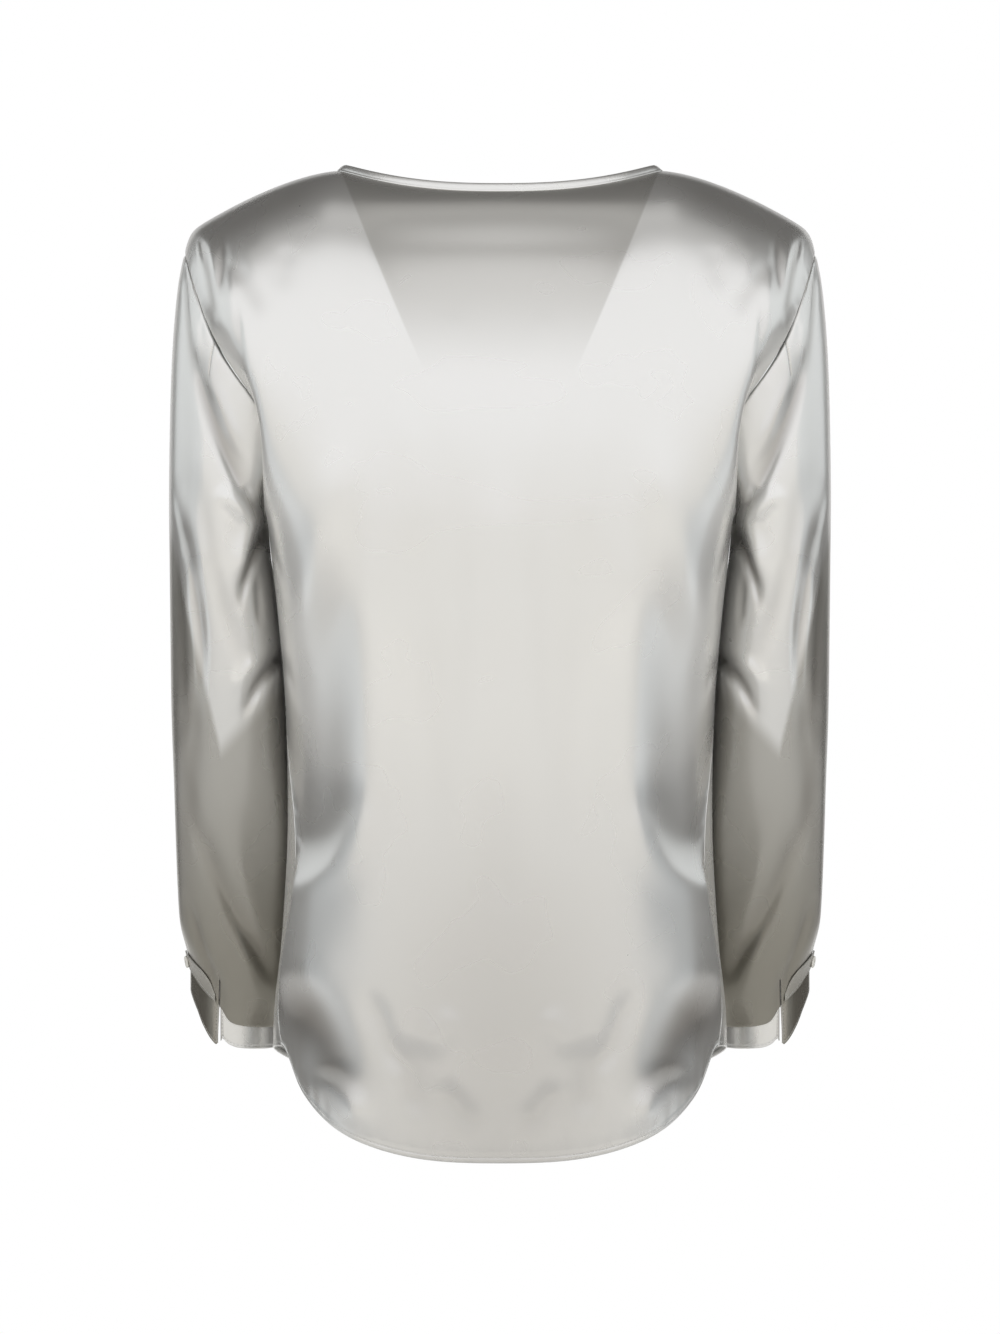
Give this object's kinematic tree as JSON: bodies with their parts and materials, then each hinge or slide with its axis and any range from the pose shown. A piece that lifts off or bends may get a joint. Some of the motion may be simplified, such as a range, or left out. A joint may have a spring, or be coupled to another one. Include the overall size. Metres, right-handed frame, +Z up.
{
  "type": "long-sleeve satin blouse top, worn shape with no wearer",
  "caption": "Women's relaxed pearl-grey silk satin pullover blouse with V neck, narrow neck binding, open narrow cuffs and a curved shirt-tail hem, filled out as worn.",
  "frame": {"origin": "midway between the two points where the neck edge meets the shoulder seams, where the garment is held up on the shoulders", "axes": "+Z up along the wearer's back, -Y out of the front, +X towards the wearer's left arm"},
  "size_m": [0.49, 0.2563, 0.7294],
  "materials": {
    "satin": "silk satin, bright soft sheen",
    "shell_button": "polished shell"
  },
  "bodies": {
    "root": {"back": "satin", "front": "satin", "neck_binding": "satin", "sleeve_left": "satin", "sleeve_right": "satin", "cuff_left": "satin", "cuff_right": "satin", "placket_left": "satin", "placket_right": "satin", "button_left": "shell_button", "button_right": "shell_button"}
  },
  "joints": []
}
